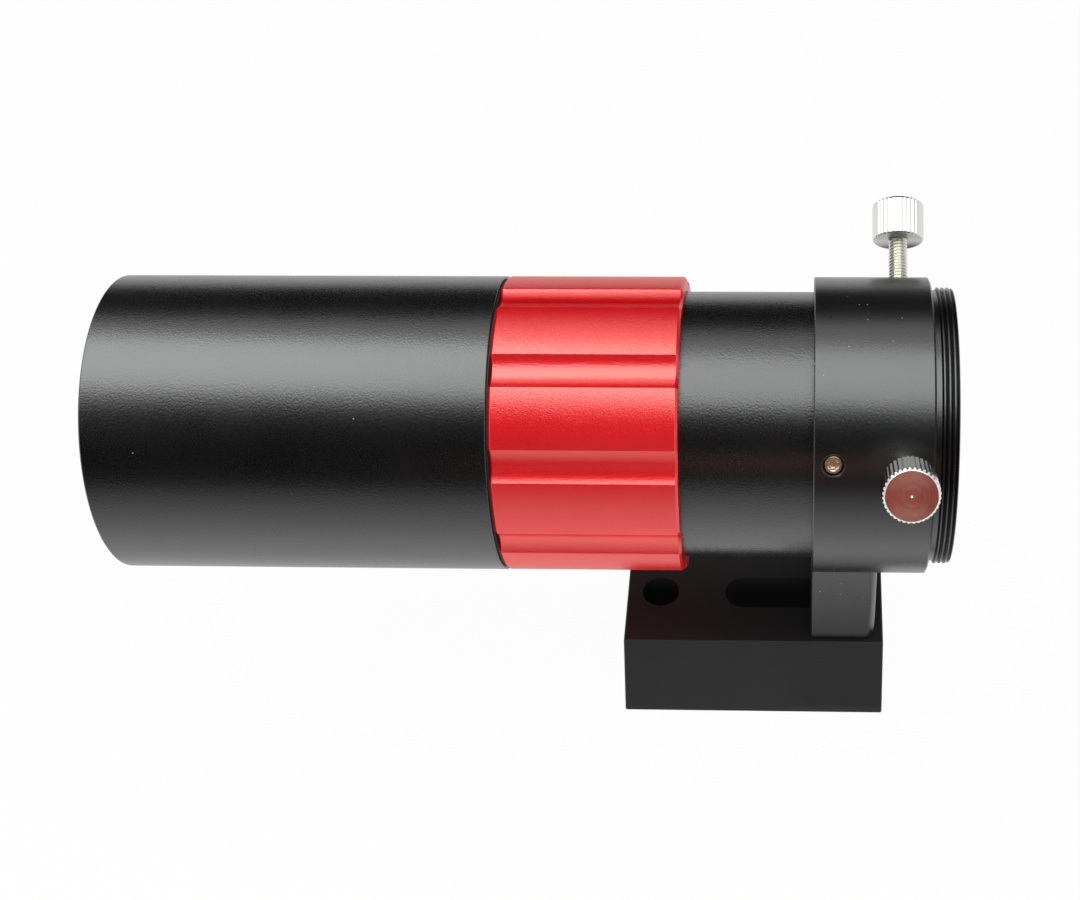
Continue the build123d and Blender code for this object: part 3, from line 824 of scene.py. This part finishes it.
def painted_shade_under_foot():
    """Dark sheet of painted shade under the foot, seen through its hole and slot."""
    low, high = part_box("dovetail_foot")
    inset, lift = 0.002, 0.00005
    west, east = low.x + inset, high.x - inset
    south, north = low.y + inset, high.y - inset
    corners = [(west, south, lift), (east, south, lift), (east, north, lift), (west, north, lift)]
    everything = ("camera", "diffuse", "glossy", "transmission", "shadow")
    sheet_card("painted_shade_under_foot", corners, everything, (0.05, 0.05, 0.054))


def studio():
    """Soft lamps above and low down, dark flags and cards for the mirrors, a sheet of painted shade under the
    foot, and a white floor and sky.
    """
    overhead_lamps()
    low_lamps()
    flags_and_felts()
    cards_for_near_head()
    painted_shade_under_foot()
    white_floor()
    sky()


def camera():
    """Camera above the near side, looking down at the tube at 47 degrees."""
    data = bpy.data.cameras.new("view_camera")
    data.sensor_width = 36.0
    data.lens = 60.93
    data.shift_x = -0.17524
    data.shift_y = 0.05031
    data.clip_start = 0.01
    data.clip_end = 50
    eye = bpy.data.objects.new("view_camera", data)
    right = Vector((0.99918, 0.03266, -0.02384))
    up = Vector((-0.00788, 0.73565, 0.67732))
    back = Vector((0.03966, -0.67658, 0.7353))
    turn = Matrix((right, up, back)).transposed().to_4x4()
    eye.matrix_world = Matrix.Translation((0.00789, -0.19885, 0.24951)) @ turn
    bpy.context.scene.collection.objects.link(eye)
    bpy.context.scene.camera = eye


# ---------------------------------------------------------------- assembly

bpy.context.scene.view_settings.view_transform = "Standard"
camera()
studio()

barrel_black = black_anodised("barrel_black_anodised", 0.27, 0.030 * MM, 0.04)
tube_black = black_anodised("tube_black_anodised", 0.27, 0.036 * MM, 0.04)
holder_black = black_anodised("holder_black_anodised", 0.28, 0.022 * MM, 0.30)
foot_black = matt_foot_black()
inside_black = flat_black()
# the thread's steel is painted darker than the heads' steel, as shade on the shank
thread_steel = plain_steel("screw_thread_steel", (0.80, 0.79, 0.70, 1), 0.16)

dress(fluted_lock_ring(), "lock_ring", red_anodised(), "red_anodised", "lock_ring")
dress(dew_shield_barrel(), "focus_barrel", barrel_black, "black_anodised", "front_barrel")
dress(threaded_draw_tube(), "scope_body", tube_black, "black_anodised", "draw_tube")
for side, turn in (("left", GRUB_ANGLE), ("right", -GRUB_ANGLE)):
    joint = JOINTS[f"{side}_thumb_turn"]
    face_steel = turned_steel(f"{side}_head_steel", joint["pos_m"], joint["axis"])
    head_body = f"{side}_thumb_head"
    dress(knurled_head(side), head_body, face_steel, "bright_steel", f"{side}_thumbscrew_head")
    dress(screw_thread(side), head_body, thread_steel, "bright_steel", f"{side}_thumbscrew_shank")
    zinc = grub_steel(f"{side}_grub_zinc", (GRUB_STATION, 0, AXIS_Z), grub_axis(turn))
    dress(grub_screw(side, turn), "scope_body", zinc, "bright_steel", "holder_grub_screws")

for node, curves, film in (("crown_lens", CROWN_CURVES, 115.0), ("flint_lens", FLINT_CURVES, 95.0)):
    glass = coated_glass(f"{node}_coated_glass", film)
    dress(lens_piece(node, curves), "focus_carriage", glass, "optical_glass", node)

paint("rear_holder", holder_black)
paint("dovetail_foot", foot_black)
paint("lock_washer", black_nylon())
for node in ("front_glare_stop", "rear_glare_stop", "lens_cell", "lens_spacer", "lens_retaining_ring"):
    paint(node, inside_black)
paint("foot_screw", plain_steel("black_oxide_steel", (0.05, 0.05, 0.052, 1), 0.38))
paint("foot_screw_washer", plain_steel("washer_steel", (0.66, 0.65, 0.63, 1), 0.28))
